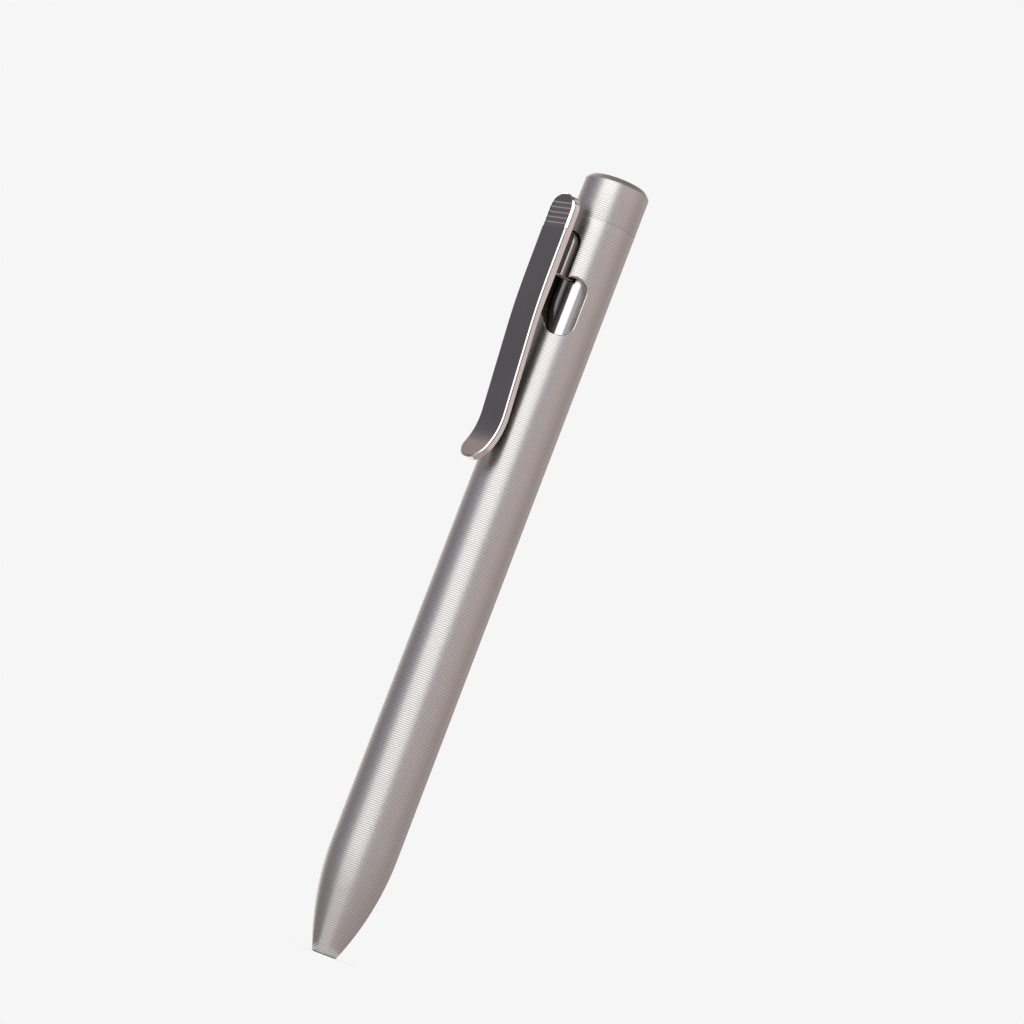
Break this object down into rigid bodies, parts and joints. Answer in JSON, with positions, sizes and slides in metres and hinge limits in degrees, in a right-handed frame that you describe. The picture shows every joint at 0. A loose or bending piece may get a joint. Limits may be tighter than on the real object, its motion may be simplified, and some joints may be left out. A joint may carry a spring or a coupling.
{
  "type": "clip action pen",
  "caption": "Turned metal ballpoint pen whose side clip slides down a slot to push the refill out, with a hooked catch pocket and a screwed end cap.",
  "frame": {"origin": "centre of the end cap's flat outer face, on the pen's axis", "axes": "+Z along the pen's axis, from the nose to the end cap; -Y towards the clip; +X towards the catch pocket's side"},
  "size_m": [0.012, 0.0165, 0.144],
  "materials": {
    "turned_steel": "finely turned, satin",
    "clip_steel": "dark satin with bright edges",
    "polished_steel": "polished",
    "screw_steel": "dark",
    "spring_wire": "drawn wire",
    "rubber": "matt",
    "refill_tube": "clear",
    "refill_plastic": "smooth",
    "refill_tip": "machined",
    "ball": "polished carbide",
    "ink": "wet",
    "grease": "clear grease"
  },
  "bodies": {
    "barrel": {"barrel": "turned_steel", "cap_o_ring": "rubber", "return_spring": "spring_wire"},
    "cap": {"end_cap": "turned_steel"},
    "clip": {"clip": "clip_steel", "clip_post": "clip_steel", "plunger": "polished_steel", "lock_screw": "screw_steel"},
    "refill": {"refill_tube": "refill_tube", "refill_tail_plug": "refill_plastic", "refill_tip_holder": "refill_plastic", "refill_tip": "refill_tip", "writing_ball": "ball", "ink_column": "ink", "ink_follower": "grease"}
  },
  "joints": [
    {"name": "clip_slide", "type": "slide", "parent": "barrel", "child": "clip", "axis": [0, 0, -1], "range_m": [0, 0.0072], "stiffness_N_per_m": 400, "springref_m": -0.005},
    {"name": "refill_slide", "type": "slide", "parent": "barrel", "child": "refill", "axis": [0, 0, -1], "range_m": [0, 0.0072], "deforming": ["return_spring"]},
    {"name": "cap_slide", "type": "slide", "parent": "barrel", "child": "cap", "axis": [0, 0, 1], "range_m": [0, 0.008]}
  ],
  "couplings": [
    {"joint": "refill_slide", "follows": "clip_slide", "ratio": 1}
  ]
}
